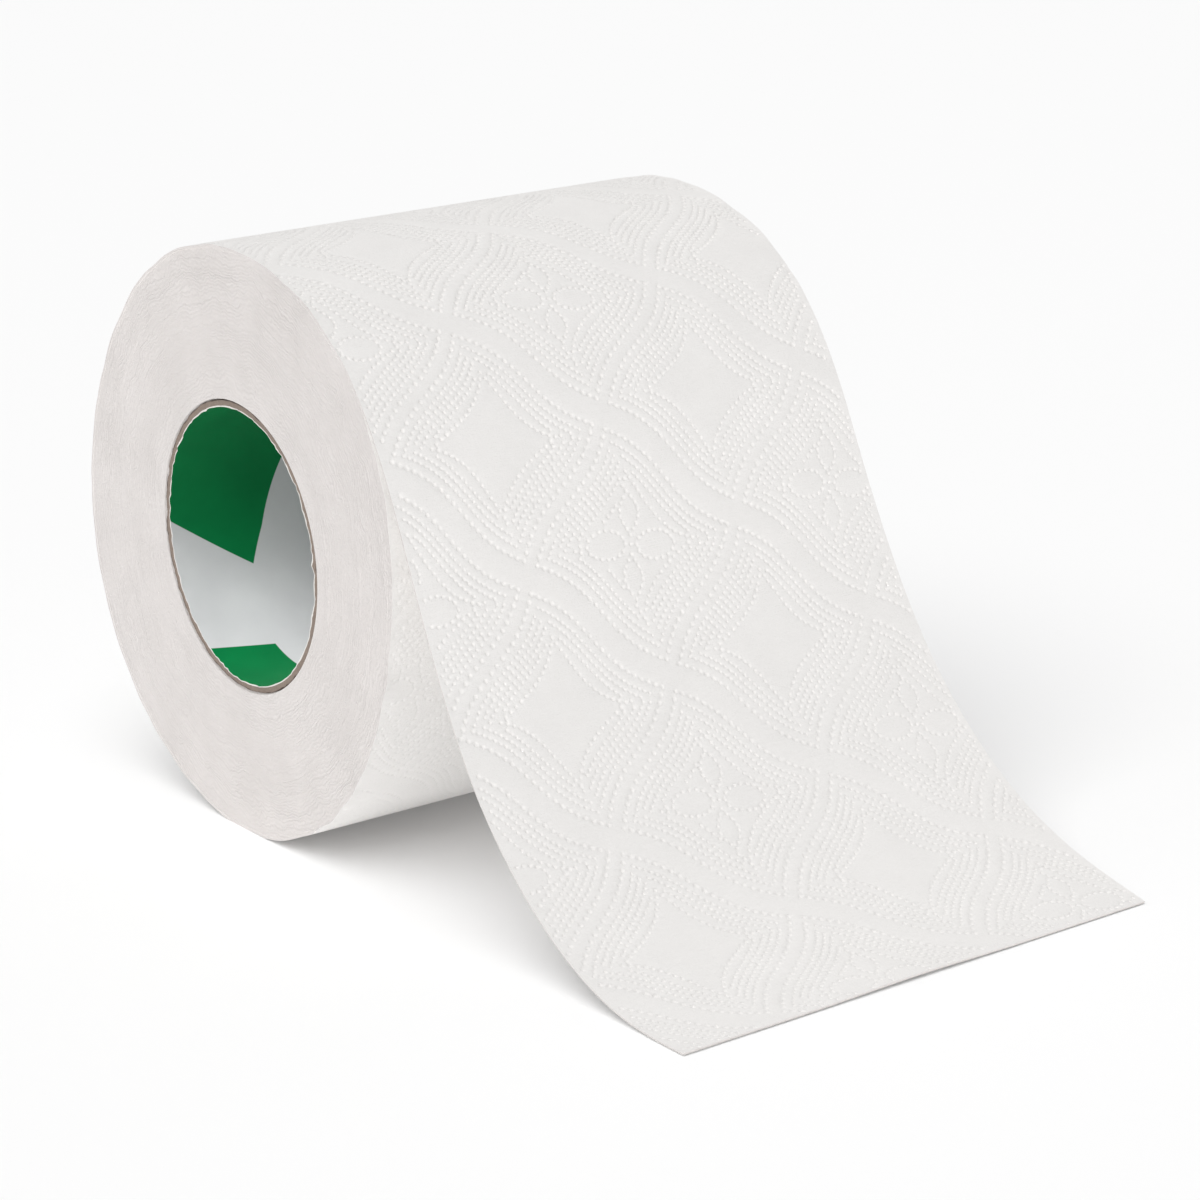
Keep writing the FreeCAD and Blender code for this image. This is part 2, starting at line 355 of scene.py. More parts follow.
def turn_ring(x, radius=None):
    """A ring of the log's own surface at x: the bore where a radius is given, else the outside."""
    if radius is not None:
        y = CORE_Y - radius * np.cos(ring_angle)
        z = CORE_Z + radius * np.sin(ring_angle)
    else:
        share = across(x)
        wrapped = np.where(ring_angle < TAKE_OFF[0], ring_angle + 2 * math.pi, ring_angle)
        inwards = SHEET + TURN_GAP + tucked(wrapped, share) - scalloped(x, wrapped)
        y, z = roll_section(wrapped, share, inwards)
    return np.stack([np.full(RING_POINTS, x), y, z], axis=1)


def sawn_face(side):
    """The rings of one sawn end, from the bore outwards, with the turns' edges wavy."""
    face_x = side * (HALF_WIDTH - FACE_INSET)
    inner = turn_ring(face_x, BORE_RADIUS + BORE_CHAMFER)
    outer = turn_ring(face_x)
    face = []
    for step in range(steps + 1):
        share_out = step / steps
        wobble = waves_round(ring_angle, WOBBLE_SEED + step // WOBBLE_STEPS, WOBBLE)
        place_out = np.clip(share_out + wobble * math.sin(math.pi * share_out), 0, 1)
        ring = inner + (outer - inner) * place_out[:, None]
        wave = np.cos(2 * math.pi * (share_out * TURN_LINES + ring_angle / (2 * math.pi)))
        broad = waves_round(ring_angle, BROAD_SEED + step // BROAD_STEPS, BROAD_WAVE)
        strength = LINE_DEPTH * (0.6 + 0.4 * math.sin(step * BEAT) * math.sin(step * SLOW_BEAT))
        ring[:, 0] += side * (strength * wave + broad)
        face.append(ring)
    return face


ring_angle = np.linspace(0, 2 * math.pi, RING_POINTS, endpoint=False)
steps = TURN_LINES * LINE_SAMPLES
BORE_RADIUS = CORE_RADIUS + CORE_CLEARANCE
bore_end = HALF_WIDTH - CHAMFER_LENGTH
plain_end = HALF_WIDTH - 2 * SCALLOP_REACH
loops = sawn_face(-1)[::-1] + [turn_ring(-bore_end, BORE_RADIUS), turn_ring(bore_end, BORE_RADIUS)]
loops += sawn_face(1) + [turn_ring(plain_end), turn_ring(0), turn_ring(-plain_end)]
points = np.concatenate(loops)
faces = []
count = len(loops)
for ring in range(count):
    following = (ring + 1) % count
    for k in range(RING_POINTS):
        after = (k + 1) % RING_POINTS
        faces.append((
            ring * RING_POINTS + k, following * RING_POINTS + k,
            following * RING_POINTS + after, ring * RING_POINTS + after))
turns = new_piece("wound_turns", points, faces)
shape = bmesh.new()
shape.from_mesh(turns.data)
bmesh.ops.recalc_face_normals(shape, faces=shape.faces)
shape.to_mesh(turns.data)
shape.free()
bpy.ops.object.select_all(action="DESELECT")
bpy.context.view_layer.objects.active = turns
turns.select_set(True)
bpy.ops.object.shade_smooth_by_angle(angle=SMOOTH_BELOW)

# Cut tissue edges: the same white tissue, a shade warmer, and drawn darker, both as cut fibre and
# as painted shade for the less light that falls on the sawn ends and cut sides; with wavy rings
# and a fine lint. Real turns lie 0.15 mm apart, so their lines are drawn four times coarser.
# Pattern scales are in features a millimetre.
cut_edges, cut_shader = new_material("cut_edges_of_tissue", 1.0, Specular_IOR_Level=0.2)
place = node(cut_edges, "TexCoord", output="Object")
in_mm = node(cut_edges, "VectorMath", {0: place, 1: (1 / MM,) * 3}, operation="MULTIPLY")
from_core = node(cut_edges, "VectorMath", {0: in_mm, 1: (0, CORE_Y, CORE_Z)}, operation="SUBTRACT")
round_core = node(cut_edges, "VectorMath", {0: from_core, 1: (0, 1, 1)}, operation="MULTIPLY")
distance = node(cut_edges, "VectorMath", {0: round_core}, output="Value", operation="LENGTH")
wander = node(cut_edges, "TexNoise", {"Vector": in_mm, "Scale": 0.12, "Detail": 3.0})
ripple = node(cut_edges, "TexNoise", {"Vector": in_mm, "Scale": 0.6, "Detail": 1.0})
bent = node(cut_edges, "Math", {0: wander, 1: 6.0, 2: distance}, operation="MULTIPLY_ADD")
bent = node(cut_edges, "Math", {0: ripple, 1: 0.9, 2: bent}, operation="MULTIPLY_ADD")
ring_place = node(cut_edges, "CombineXYZ", {0: bent})
fine_rings = node(cut_edges, "TexNoise", {"Vector": ring_place, "Scale": 2.2, "Detail": 2.0})
lint = node(cut_edges, "TexNoise", {"Vector": in_mm, "Scale": 2.5, "Detail": 5.0, "Roughness": 0.65})
mottle = node(cut_edges, "TexNoise", {"Vector": in_mm, "Scale": 0.1, "Detail": 4.0})
patches = node(cut_edges, "TexNoise", {"Vector": in_mm, "Scale": 0.09, "Detail": 2.0})
patch = node(cut_edges, "Math", {0: patches, 1: 5.0, 2: -1.9}, operation="MULTIPLY_ADD", use_clamp=True)
turned = node(cut_edges, "Math", {0: bent, 1: 2 * math.pi / TURN_LINE_PITCH}, operation="MULTIPLY")
turn_lines = node(cut_edges, "Math", {0: turned}, operation="SINE")
turn_lines = node(cut_edges, "Math", {0: turn_lines, 1: patch}, operation="MULTIPLY")
tone = node(cut_edges, "Math", {0: fine_rings, 1: mottle}, operation="ADD")
tone = node(cut_edges, "Math", {0: tone, 1: 0.5}, operation="MULTIPLY")
tone = node(cut_edges, "Math", {0: turn_lines, 1: 0.10, 2: tone}, operation="MULTIPLY_ADD")
# Painted shade: these colours are darker than the tissue's, partly to stand in for the light that the
# sawn ends and cut sides lack.
cut_colour = node(
    cut_edges, "Mix", {"Factor": tone, 6: colour("#D2CDCA"), 7: colour("#F3EEEC")},
    output=2, data_type="RGBA")
cut_height = node(cut_edges, "Math", {0: lint, 1: 1.2, 2: fine_rings}, operation="MULTIPLY_ADD")
cut_height = node(cut_edges, "Math", {0: turn_lines, 1: 0.10, 2: cut_height}, operation="MULTIPLY_ADD")
cut_bump = node(cut_edges, "Bump", {"Height": cut_height, "Strength": 0.8, "Distance": 0.3 * MM})
feed(cut_shader, Base_Color=cut_colour, Normal=cut_bump)
turns.data.materials.append(cut_edges)
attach(turns, "root")
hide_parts("paper_web")


# Outer turn and loose end. One soft web of three plies, embossed between rollers with a
# wave trellis of stars and flowers in small dimples, and then wound. The outer turn lies on
# the roll, and the web leaves it at the front, hangs and sweeps out on to the surface.
TAIL_LENGTH = 124.2
TAIL_STEP = 0.25
LEAVING_ANGLE = 0.002
# How sharply the loose end bends at nine even places from where it leaves the roll, in radians
# a millimetre: its near edge, and how much more the far edge bends.
TAIL_BENDS = [0.0185, 0.0097, -0.0016, -0.0042, -0.0139, -0.0141, -0.0172, -0.0260, -0.0055]
FAR_BENDS = [-0.0001, 0.0001, -0.0029, 0.0002, 0.0023, 0.0027, 0.0010, 0.0101, 0.0033]
TURNS_SHOWN, TURN_SAMPLES = 1.06, 2000
# The trellis: where it starts on the flat web, its repeats, its skew and its cells.
PATTERN_X, PATTERN_D = -3.75, 111.65
REPEAT_X, REPEAT_D = 42.6, 43.9
SKEW_X, SKEW_D = 0.027, 0.048
BAND_WAVE = 0.04
CELL_SIDE = 30.6
PLAIN_CELL = (1, 0)
FLOWER_SHIFT = -0.5
# The dimples: their rows, sizes, spacings and depths, deeper where the web is taut on top of
# the roll and pressed flat where the next turn lies on it.
EDGE_ROWS = {"steep": 2.35, "thin": 1.3}
FIRST_ROW_STEP, ROW_STEP = 1.7, 1.2
SIDE_ROWS, END_ROWS = 3, 4
EDGE_DOT, SMALL_DOT, OUTLINE_DOT = 0.58, 0.43, 0.48
EDGE_PITCH, SMALL_PITCH, OUTLINE_PITCH = 1.42, 1.05, 1.2
EDGE_DEPTH, SMALL_DEPTH, OUTLINE_DEPTH = 0.31, 0.26, 0.28
TOP_GAIN, PRESSED_FLAT = 1.45, 0.4
GAIN_PLACES = [-20, 25, 110, 190, 240]
STAR_NOTCH, STAR_TIP = 6.8, 8.2
PETAL_PLACE, PETAL_HALF_LENGTH, PETAL_HALF_WIDTH = 4.9, 3.75, 2.4
LEAF_START, LEAF_LENGTH, LEAF_HALF_WIDTH = 1.6, 7.0, 1.9
DOT_CLEARANCE, STAR_CLEARANCE = 1.04, 0.5
COLUMNS, LINES = range(-5, 14), range(-14, 7)
DOT_SHIFT, SIZE_SPREAD, DEPTH_SPREAD = 0.018, 0.04, 0.07
DOT_SEED = 7
# The web's mesh: rings round each dimple, and a finer or coarser fill between them.
DOT_SIDES = 6
WALL_REACH, WALL_DEPTH = 0.58, 0.72
RING_TURNS = ((WALL_REACH, 0.5), (1, 0))
FILLER_STEP, FILLER_SHIFT = 1.5, 0.3
BORDER_STEP = 0.8
GRID_STEP, GRID_REACH = 0.4, range(-2, 3)
UNDER_SIDES, UNDER_STEP, UNDER_CLEARANCE = 5, 3.0, 1.2
MARGIN = 0.12
NORMAL_REACH = 0.4
ZIGZAG = 3
UV_LENGTH = 100
# The free edge: how it is thinned, how it sinks, and the ripple in its middle.
CUT_EDGE_SHEET, EDGE_TAPER = 0.26, 6
SETTLE_LENGTH = 6
NEAR_SINK, FAR_SINK = 0.26, 0.55
RIPPLE_LIFT, RIPPLE_MIDDLE, RIPPLE_SPREAD, RIPPLE_REACH = 0.32, 0.48, 0.15, 11


def tail_profile(side):
    """The line of one edge of the loose end, from the roll out to the free edge: d, Y and Z."""
    walked = np.arange(0, TAIL_LENGTH + TAIL_STEP, TAIL_STEP)
    knots = np.linspace(0, TAIL_LENGTH, len(TAIL_BENDS))
    bend = np.array(TAIL_BENDS) + side * np.array(FAR_BENDS)
    start = np.array(roll_section(np.array(TAKE_OFF[side]), side))
    before = np.array(roll_section(np.array(TAKE_OFF[side] + LEAVING_ANGLE), side))
    leave = start - before
    heading = math.atan2(-leave[1], -leave[0])
    bends = np.interp(walked[:-1] + TAIL_STEP / 2, knots, bend) * TAIL_STEP
    turned = heading + np.concatenate([[0], np.cumsum(bends)])
    middle = (turned[1:] + turned[:-1]) / 2
    y = start[0] - np.concatenate([[0], np.cumsum(np.cos(middle) * TAIL_STEP)])
    z = start[1] - np.concatenate([[0], np.cumsum(np.sin(middle) * TAIL_STEP)])
    return TAIL_LENGTH - walked, y, z


profiles = [tail_profile(side) for side in (0, 1)]
mean_angle = np.linspace(0, 2 * math.pi * TURNS_SHOWN, TURN_SAMPLES)
mean_y, mean_z = roll_section(mean_angle + TAKE_OFF[0], 0.5)
mean_walk = np.concatenate([[0], np.cumsum(np.hypot(np.diff(mean_y), np.diff(mean_z)))])
WEB_END = TAIL_LENGTH + mean_walk[-1]


def free_edge_lift(x, d):
    """The free edge sinks on to the surface and ripples off it in the middle, in mm."""
    share = across(x)
    ripple = RIPPLE_LIFT * np.exp(-((share - RIPPLE_MIDDLE) / RIPPLE_SPREAD) ** 2)
    return (ripple - NEAR_SINK - FAR_SINK * share) * np.exp(-np.maximum(d, 0) / RIPPLE_REACH)


def web_place(x, d):
    """Where a point of the flat web lies once it is wound: x across it, d from its free edge."""
    share = across(x)
    on_roll = d > TAIL_LENGTH
    take_off = TAKE_OFF[0] + (TAKE_OFF[1] - TAKE_OFF[0]) * share
    theta = take_off + np.interp(d - TAIL_LENGTH, mean_walk, mean_angle)
    settled_on = np.clip((d - TAIL_LENGTH) / SETTLE_LENGTH, 0, 1)
    inwards = tucked(theta, share) - scalloped(x, theta) * settled_on
    roll_y, roll_z = roll_section(theta, share, inwards)
    near_y, near_z, far_y, far_z = (
        np.interp(d, profile[0][::-1], profile[axis][::-1]) for profile in profiles for axis in (1, 2))
    tail_y = near_y * (1 - share) + far_y * share
    tail_z = near_z * (1 - share) + far_z * share + free_edge_lift(x, d)
    return np.stack([x, np.where(on_roll, roll_y, tail_y), np.where(on_roll, roll_z, tail_z)], axis=-1)


def web_normal(x, d):
    """The outward direction of the web's face there."""
    along = web_place(x, d + NORMAL_REACH) - web_place(x, d - NORMAL_REACH)
    sideways = web_place(x + NORMAL_REACH, d) - web_place(x - NORMAL_REACH, d)
    normal = np.cross(sideways, along)
    return normal / np.linalg.norm(normal, axis=-1, keepdims=True)


def turned_up(x, d, triangles):
    """The same triangles, all anticlockwise on the flat web."""
    a, b, c = triangles.T
    area = (x[b] - x[a]) * (d[c] - d[a]) - (x[c] - x[a]) * (d[b] - d[a])
    return np.where((area < 0)[:, None], triangles[:, ::-1], triangles)


def star_side(offset):
    """How far the plain middle of a cell reaches towards a side, pinched in at the middle."""
    return STAR_NOTCH + (STAR_TIP - STAR_NOTCH) * (offset / STAR_TIP) ** 2


def cell_dots(flower):
    """The dimples of one cell, as (across, along, radius, depth) from its middle, in mm."""
    dots = []

    def row(start, end, pitch, radius, depth):
        gap = np.array(end) - np.array(start)
        count = max(int(round(np.hypot(*gap) / pitch)), 1)
        for k in range(count + 1):
            at = np.array(start) + gap * k / count
            dots.append((at[0], at[1], radius, depth))

    def outline(curve, radius, depth, pitch):
        curve = np.array(curve)
        walk = np.concatenate([[0], np.cumsum(np.hypot(*np.diff(curve, axis=0).T))])
        count = int(round(walk[-1] / pitch))
        for k in range(count):
            u, v = (np.interp(walk[-1] * k / count, walk, curve[:, axis]) for axis in (0, 1))
            dots.append((u, v, radius, depth))

    def on_diagonal(curve):
        turned = [((p + q) * math.sqrt(0.5), (p - q) * math.sqrt(0.5)) for p, q in curve]
        return [(u + FLOWER_SHIFT, v + FLOWER_SHIFT) for u, v in turned]

    half = CELL_SIDE / 2
    steep, thin = half - EDGE_ROWS["steep"], half - EDGE_ROWS["thin"]
    for sign in (-1, 1):
        row((sign * steep, -thin), (sign * steep, thin), EDGE_PITCH, EDGE_DOT, EDGE_DEPTH)
        row((-steep, sign * thin), (steep, sign * thin), EDGE_PITCH, EDGE_DOT, EDGE_DEPTH)
    if flower:
        turn = np.linspace(0, 2 * math.pi, 60)
        length = np.linspace(0, 1, 30)
        for sign in (-1, 1):
            petal = [(
                sign * PETAL_PLACE + PETAL_HALF_LENGTH * math.cos(a), PETAL_HALF_WIDTH * math.sin(a))
                for a in turn]
            outline(on_diagonal(petal), OUTLINE_DOT, OUTLINE_DEPTH, OUTLINE_PITCH)
            leaf = [(
                LEAF_HALF_WIDTH * math.sin(math.pi * s ** 1.1), sign * (LEAF_START + LEAF_LENGTH * s))
                for s in length]
            leaf += [(-w, h) for w, h in leaf[::-1]]
            outline(on_diagonal(leaf), OUTLINE_DOT, OUTLINE_DEPTH, OUTLINE_PITCH)
        dots.append((FLOWER_SHIFT, FLOWER_SHIFT, OUTLINE_DOT, OUTLINE_DEPTH))
    side = np.linspace(-STAR_TIP, STAR_TIP, 25)
    star = [(star_side(v), v) for v in side] + [(-v, star_side(v)) for v in side]
    star += [(-star_side(v), -v) for v in side] + [(v, -star_side(v)) for v in side]
    outline(star, OUTLINE_DOT, OUTLINE_DEPTH, OUTLINE_PITCH)
    for level in range(END_ROWS):
        a, b = (reach - FIRST_ROW_STEP - level * ROW_STEP for reach in (steep, thin))
        shift = SMALL_PITCH / 2 * (level % 2)
        for sign in (-1, 1):
            if level < SIDE_ROWS:
                for at in np.arange(-b + shift, b + 0.01, SMALL_PITCH):
                    dots.append((sign * a, at, SMALL_DOT, SMALL_DEPTH))
            for at in np.arange(-a + SMALL_PITCH + shift, a - SMALL_PITCH / 2, SMALL_PITCH):
                dots.append((at, sign * b, SMALL_DOT, SMALL_DEPTH))
    kept = []
    for dot in dots:
        u, v = abs(dot[0]), abs(dot[1])
        small = dot[2] == SMALL_DOT
        long_way, short_way = max(u, v), min(u, v)
        if small and short_way < STAR_TIP and long_way < star_side(short_way) + STAR_CLEARANCE:
            continue
        clear = all(
            math.hypot(dot[0] - other[0], dot[1] - other[1]) > (dot[2] + other[2]) * DOT_CLEARANCE
            for other in kept)
        if clear:
            kept.append(dot)
    return np.array(kept)


def laid_out(u, v, column, line):
    """A point of a cell on the flat web: the trellis is a wave, so its rows bend with it."""
    wanted_a, wanted_b = column + 0.5 + u / CELL_SIDE, line + 0.5 + v / CELL_SIDE
    a, b = wanted_a, wanted_b
    for _ in range(4):
        a = wanted_a + BAND_WAVE * np.sin(2 * math.pi * b)
        b = wanted_b - BAND_WAVE * np.sin(2 * math.pi * a)
    right, up = (a + b) / 2 * REPEAT_X, (a - b) / 2 * REPEAT_D
    return PATTERN_X + right + SKEW_X * up, PATTERN_D + up + SKEW_D * right


draw = np.random.default_rng(DOT_SEED)
templates = [cell_dots(False), cell_dots(True)]
found = []
for column in COLUMNS:
    for line in LINES:
        cell = templates[int((column - line) % 2 and (column, line) != PLAIN_CELL)]
        x, d = laid_out(cell[:, 0], cell[:, 1], column, line)
        if x.max() < -HALF_WIDTH or x.min() > HALF_WIDTH or d.max() < 0 or d.min() > WEB_END:
            continue
        shift = draw.normal(0, DOT_SHIFT, (len(x), 2))
        size = draw.normal(1, SIZE_SPREAD, len(x)) * cell[:, 2]
        depth = draw.normal(1, DEPTH_SPREAD, len(x)) * cell[:, 3]
        found.append(np.stack([x + shift[:, 0], d + shift[:, 1], size, depth], axis=1))
dots = np.concatenate(found)
inside = (np.abs(dots[:, 0]) < HALF_WIDTH - dots[:, 2] - MARGIN)
inside &= (dots[:, 1] > dots[:, 2] + MARGIN) & (dots[:, 1] < WEB_END - dots[:, 2] - MARGIN)
dots = dots[inside]
past_take_off = dots[:, 1] - TAIL_LENGTH
dots[:, 3] *= np.interp(past_take_off, GAIN_PLACES, [1, TOP_GAIN, TOP_GAIN, 1, PRESSED_FLAT])

corner = np.arange(DOT_SIDES) * 2 * math.pi / DOT_SIDES
ring_x = [dots[:, 0:1] + reach * dots[:, 2:3] * np.cos(corner + turn) for reach, turn in RING_TURNS]
ring_d = [dots[:, 1:2] + reach * dots[:, 2:3] * np.sin(corner + turn) for reach, turn in RING_TURNS]
taken = np.zeros((int(2 * HALF_WIDTH / GRID_STEP) + 3, int(WEB_END / GRID_STEP) + 3), bool)
dot_column = ((dots[:, 0] + HALF_WIDTH) / GRID_STEP).astype(int)
dot_line = (dots[:, 1] / GRID_STEP).astype(int)
for spread_x in GRID_REACH:
    for spread_d in GRID_REACH:
        column = np.clip(dot_column + spread_x, 0, taken.shape[0] - 1)
        line = np.clip(dot_line + spread_d, 0, taken.shape[1] - 1)
        taken[column, line] = True
fill_x, fill_d = np.meshgrid(
    np.arange(-HALF_WIDTH + FILLER_STEP, HALF_WIDTH - FILLER_STEP / 2, FILLER_STEP),
    np.arange(FILLER_STEP, WEB_END - FILLER_STEP / 2, FILLER_STEP), indexing="ij")
fill_x = fill_x.ravel() + draw.uniform(-FILLER_SHIFT, FILLER_SHIFT, fill_x.size)
fill_d = fill_d.ravel() + draw.uniform(-FILLER_SHIFT, FILLER_SHIFT, fill_d.size)
free = ~taken[((fill_x + HALF_WIDTH) / GRID_STEP).astype(int), (fill_d / GRID_STEP).astype(int)]
fill_x, fill_d = fill_x[free], fill_d[free]
side_d = np.linspace(0, WEB_END, int(WEB_END / BORDER_STEP))
end_x = np.linspace(-HALF_WIDTH, HALF_WIDTH, int(2 * HALF_WIDTH / BORDER_STEP))[1:-1]
flat_x = np.concatenate([
    dots[:, 0], ring_x[0].ravel(), ring_x[1].ravel(), fill_x,
    np.full(len(side_d), -HALF_WIDTH), np.full(len(side_d), HALF_WIDTH), end_x, end_x])
flat_d = np.concatenate([
    dots[:, 1], ring_d[0].ravel(), ring_d[1].ravel(), fill_d, side_d, side_d,
    np.zeros(len(end_x)), np.full(len(end_x), WEB_END)])
sunk = np.zeros(len(flat_x))
sunk[:len(dots)] = dots[:, 3]
sunk[len(dots):len(dots) * (1 + DOT_SIDES)] = np.repeat(dots[:, 3] * WALL_DEPTH, DOT_SIDES)
flat_points = [Vector(pair) for pair in zip(flat_x.tolist(), flat_d.tolist())]
_, _, web_faces, source, _, _ = delaunay_2d_cdt(flat_points, [], [], 0, 1e-6)
source = np.array([origin[0] for origin in source])
web_faces = turned_up(flat_x, flat_d, source[np.array(web_faces)])
top_points = web_place(flat_x, flat_d) - web_normal(flat_x, flat_d) * sunk[:, None]


def smooth_normals(points, triangles):
    """The direction of a surface at each of its points, from all the triangles that meet there."""
    first, second, third = (points[triangles[:, k]] for k in range(3))
    of_faces = np.cross(second - first, third - first)
    normals = np.zeros_like(points)
    for k in range(3):
        np.add.at(normals, triangles[:, k], of_faces)
    return normals / np.linalg.norm(normals, axis=1, keepdims=True)


top_normals = smooth_normals(top_points, web_faces)


def border_of(triangles, count):
    """The edges that only one triangle uses, each in its triangle's own direction."""
    edges = np.concatenate([triangles[:, [0, 1]], triangles[:, [1, 2]], triangles[:, [2, 0]]])
    return edges[~np.isin(edges[:, 0] * count + edges[:, 1], edges[:, 1] * count + edges[:, 0])]


def under_side(border_x, border_d, border, embossed):
    """The hidden face of a stretch: its flat points, how far each is sunk, and its triangles."""
    low, high = border_d.min(), border_d.max()
    if embossed:
        near = dots[(dots[:, 1] - dots[:, 2] > low) & (dots[:, 1] + dots[:, 2] < high)]
        turn = np.arange(UNDER_SIDES) * 2 * math.pi / UNDER_SIDES
        x = np.concatenate([near[:, 0], (near[:, 0:1] + near[:, 2:3] * np.cos(turn)).ravel()])
        d = np.concatenate([near[:, 1], (near[:, 1:2] + near[:, 2:3] * np.sin(turn)).ravel()])
        depth = np.concatenate([near[:, 3], np.zeros(len(near) * UNDER_SIDES)])
    else:
        x, d = np.meshgrid(
            np.arange(-HALF_WIDTH + UNDER_STEP, HALF_WIDTH - 1, UNDER_STEP),
            np.arange(low + UNDER_STEP, high - 1, UNDER_STEP), indexing="ij")
        x, d = x.ravel(), d.ravel()
        depth = np.zeros(len(x))
    clear = np.ones(len(x), bool)
    for limit in (low, high):
        zigzag = np.abs(border_d - limit) < ZIGZAG
        order = np.argsort(border_x[zigzag])
        line = np.interp(x, border_x[zigzag][order], border_d[zigzag][order])
        clear &= np.abs(d - line) > UNDER_CLEARANCE
        clear &= (d > line) if limit == low else (d < line)
    x, d, depth = x[clear], d[clear], depth[clear]
    points = [Vector(pair) for pair in zip(np.r_[border_x, x].tolist(), np.r_[border_d, d].tolist())]
    _, _, triangles, origin, _, _ = delaunay_2d_cdt(points, border.tolist(), [], 1, 1e-7)
    origin = np.array([first[0] for first in origin])
    triangles = origin[np.array(triangles)]
    flat = np.stack([np.r_[border_x, x], np.r_[border_d, d]], axis=1)
    return flat, np.r_[np.zeros(len(border_x)), depth], turned_up(flat[:, 0], flat[:, 1], triangles)


def web_piece(name, start, end, embossed_under=False):
    """The stretch of web from start to end, in mm from the free edge, as one closed sheet."""
    middle = flat_d[web_faces].mean(axis=1)
    used, local = np.unique(web_faces[(middle >= start) & (middle < end)], return_inverse=True)
    local = local.reshape(-1, 3)
    count = len(used)
    border = border_of(local, count)
    on_border, border_local = np.unique(border, return_inverse=True)
    border_local = border_local.reshape(-1, 2)
    below, below_sunk, under = under_side(
        flat_x[used][on_border], flat_d[used][on_border], border_local, embossed_under)
    below_outward = web_normal(below[:, 0], below[:, 1])
    thickness = np.full(len(below), SHEET)
    thickness[:len(on_border)] = np.interp(
        below[:len(on_border), 1], [TAIL_LENGTH - EDGE_TAPER, TAIL_LENGTH], [CUT_EDGE_SHEET, SHEET])
    sunk_below = (thickness + below_sunk)[:, None]
    below_points = web_place(below[:, 0], below[:, 1]) - below_outward * sunk_below
    below_points[:, 2] = np.maximum(below_points[:, 2], 0)
    under = under[:, ::-1]
    below_normals = smooth_normals(below_points, under)
    walls = np.stack([
        border[:, 1], border[:, 0], border_local[:, 0] + count, border_local[:, 1] + count], axis=1)
    points = np.concatenate([top_points[used], below_points])
    piece = new_piece(name, points, local.tolist() + (under + count).tolist() + walls.tolist())
    along_border = points[border[:, 1]] - points[border[:, 0]]
    wall_normal = np.cross(along_border, top_normals[used][border[:, 0]])
    wall_normal /= np.linalg.norm(wall_normal, axis=1, keepdims=True)
    normals = np.concatenate([
        top_normals[used][local].reshape(-1, 3), below_normals[under].reshape(-1, 3),
        np.repeat(wall_normal, 4, axis=0)])
    mesh = piece.data
    mesh.shade_smooth()
    finish = np.repeat([0, 1], [len(local) + len(under), len(walls)])
    mesh.polygons.foreach_set("material_index", finish)
    mesh.normals_split_custom_set(normals.tolist())
    layer = mesh.uv_layers.new(name="flat_web")
    corners = np.zeros(len(mesh.loops), int)
    mesh.loops.foreach_get("vertex_index", corners)
    flat = np.concatenate([np.stack([flat_x[used], flat_d[used]], axis=1), below])[corners] / UV_LENGTH
    layer.data.foreach_set("uv", flat.ravel())
    return piece


# Creped tissue: three soft plies, matt and slightly warm, with fine crepe lines across the
# web and loose fibres, which give it a tooth under a low light. Both follow the flat web, and
# are drawn about twice as coarse as real. Pattern scales are in features a millimetre.
tissue, tissue_shader = new_material(
    "creped_tissue_three_ply", 1.0, Specular_IOR_Level=0.2, Sheen_Weight=0.05, Sheen_Roughness=0.6)
web_uv = node(tissue, "UVMap", uv_map="flat_web")
flat_mm = node(tissue, "VectorMath", {0: web_uv, 1: (UV_LENGTH, UV_LENGTH, 1.0)}, operation="MULTIPLY")
crepe_place = node(tissue, "VectorMath", {0: flat_mm, 1: (0.35, 2.6, 1.0)}, operation="MULTIPLY")
crepe = node(tissue, "TexNoise", {"Vector": crepe_place, "Scale": 1.0, "Detail": 3.0, "Roughness": 0.6})
fibres = node(tissue, "TexNoise", {"Vector": flat_mm, "Scale": 1.9, "Detail": 4.0, "Roughness": 0.75})
cloudy = node(tissue, "TexNoise", {"Vector": flat_mm, "Scale": 0.12, "Detail": 4.0})
tissue_colour = node(
    tissue, "Mix", {"Factor": cloudy, 6: colour("#EDEBE9"), 7: colour("#F4F2F0")},
    output=2, data_type="RGBA")
tooth = node(tissue, "Math", {0: fibres, 1: 0.7, 2: crepe}, operation="MULTIPLY_ADD")
tissue_bump = node(tissue, "Bump", {"Height": tooth, "Strength": 0.7, "Distance": 0.16 * MM})
feed(tissue_shader, Base_Color=tissue_colour, Normal=tissue_bump)

TURN_PIECES = ("outer_turn_over_top", "outer_turn_down_back", "outer_turn_under_front")
turn_step = (WEB_END - TAIL_LENGTH) / len(TURN_PIECES)
for k, name in enumerate(TURN_PIECES):
    start = TAIL_LENGTH + k * turn_step
    end = WEB_END + 1 if name == TURN_PIECES[-1] else start + turn_step
    piece = web_piece(name, start, end)
    piece.data.materials.append(tissue)
    piece.data.materials.append(cut_edges)
    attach(piece, "root")
    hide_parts("paper_web")

piece = web_piece("loose_end", 0.0, TAIL_LENGTH, embossed_under=True)
piece.data.materials.append(tissue)
piece.data.materials.append(cut_edges)
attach(piece, "root")
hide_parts("paper_web")


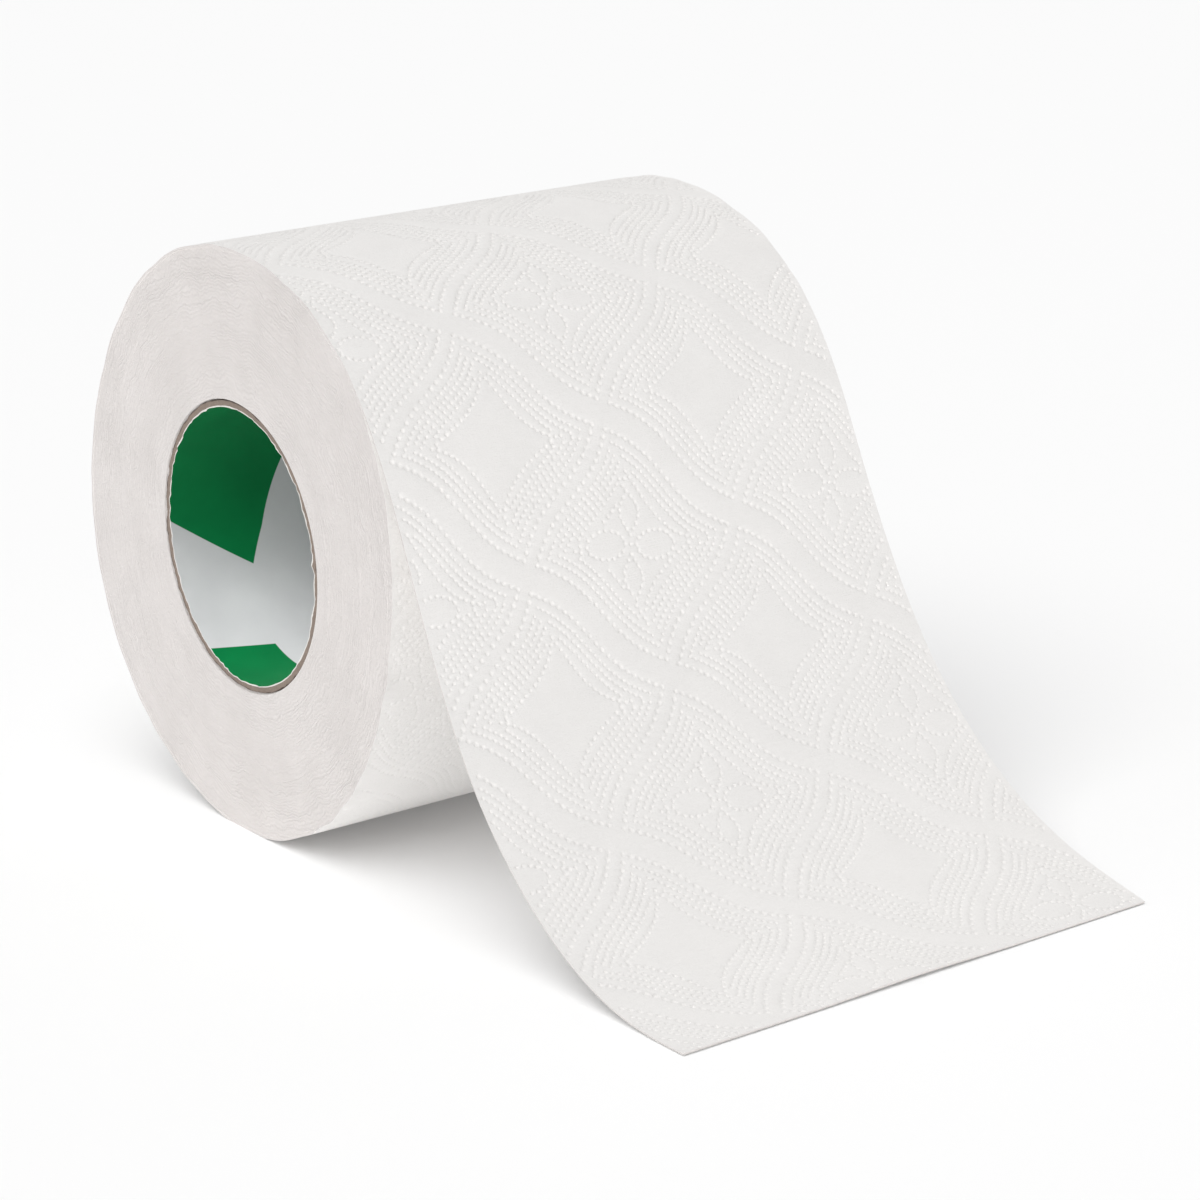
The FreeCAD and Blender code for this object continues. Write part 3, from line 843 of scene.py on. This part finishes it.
# Studio floor. A plain matt white surface, several metres wide, that runs out into the white
# of the room and keeps the roll's soft shadow.
FLOOR_SIZE = 6.0
white_floor = new_material(
    "matt_white_floor", 0.9, Base_Color=colour("#F6F6F6"), Specular_IOR_Level=0.1)[0]
bpy.ops.object.select_all(action="DESELECT")
bpy.ops.mesh.primitive_plane_add(size=FLOOR_SIZE)
floor = bpy.context.object
floor.name = "studio_floor"
floor.data.materials.append(white_floor)
floor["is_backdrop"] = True

# Soft light: distant soft lamps round the roll and a white room, at a level at which a colour
# renders about as it is written. Paper is so pale that it lights its own hollows, so its lamps
# throw no shadow, while the tube and the floor have a lamp each that does.
ROOM_LEVEL = 0.45
WHITE = (1, 1, 1, 1)
world = bpy.data.worlds.new("white_room")
scene.world = world
world.use_nodes = True
room = world.node_tree
light_path = room.nodes.new("ShaderNodeLightPath")
seen = room.nodes.new("ShaderNodeBackground")
seen.inputs[0].default_value = WHITE
lit = room.nodes["Background"]
lit.inputs[0].default_value = WHITE
lit.inputs[1].default_value = ROOM_LEVEL
joined = room.nodes.new("ShaderNodeMixShader")
room.links.new(light_path.outputs["Is Camera Ray"], joined.inputs[0])
room.links.new(lit.outputs[0], joined.inputs[1])
room.links.new(seen.outputs[0], joined.inputs[2])
room.links.new(joined.outputs[0], room.nodes["World Output"].inputs[0])


def soft_lamp(name, direction, level, spread, lights=None, shadow=False):
    """A distant lamp: where it shines from, its level on a white face, its angle, what it lights."""
    lamp = bpy.data.lights.new(name, "SUN")
    lamp.energy = level * math.pi
    lamp.angle = math.radians(spread)
    lamp.use_shadow = shadow
    holder = bpy.data.objects.new(name, lamp)
    holder.rotation_euler = Vector(direction).to_track_quat("Z", "Y").to_euler()
    scene.collection.objects.link(holder)
    holder.light_linking.receiver_collection = lights


def lit_group(name, members):
    """The pieces that one set of lamps shines on."""
    group = bpy.data.collections.new(name)
    for member in members:
        group.objects.link(member)
    return group


paper = lit_group("paper_pieces", [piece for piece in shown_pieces() if piece != core])
board_only = lit_group("core_piece", [core])
ground = lit_group("floor_piece", [floor])
soft_lamp("side_softbox", (-0.75, -0.30, 0.59), 0.40, 15, paper)
soft_lamp("front_fill", (-0.40, -0.85, 0.34), 0.07, 60, paper)
soft_lamp("low_fill", (-0.45, -0.78, -0.43), 0.23, 60, paper)
soft_lamp("rear_fill", (0.30, 0.45, 0.84), 0.27, 60, paper)
soft_lamp("core_softbox", (-0.62, -0.15, 0.77), 0.95, 45, board_only, shadow=True)
soft_lamp("floor_softbox", (-0.42, -0.17, 0.88), 0.69, 62, ground, shadow=True)

# Camera at the photograph's viewing angle, in mm and degrees: to the near left of the roll, a
# little above it, and turned a degree about its own axis.
AZIMUTH, ELEVATION, ROLL = (math.radians(a) for a in (-36.66, 15.67, 1.343))
CAMERA_DISTANCE = 484.6
CAMERA_TARGET = Vector((2.56, -38.24, 40.48))
LENS = 86.06
back = Vector((
    math.sin(AZIMUTH) * math.cos(ELEVATION), -math.cos(AZIMUTH) * math.cos(ELEVATION),
    math.sin(ELEVATION)))
level_right = Vector((math.cos(AZIMUTH), math.sin(AZIMUTH), 0))
level_up = back.cross(level_right)
right = level_right * math.cos(ROLL) - level_up * math.sin(ROLL)
up = level_right * math.sin(ROLL) + level_up * math.cos(ROLL)
camera_data = bpy.data.cameras.new("camera")
camera_data.lens = LENS
camera_data.sensor_width = 36
camera_data.clip_start, camera_data.clip_end = 0.01, 50
camera = bpy.data.objects.new("camera", camera_data)
camera.matrix_world = Matrix.Translation((CAMERA_TARGET + back * CAMERA_DISTANCE) * MM) @ Matrix(
    (right, up, back)).transposed().to_4x4()
scene.collection.objects.link(camera)
scene.camera = camera
scene.view_settings.view_transform = "Standard"
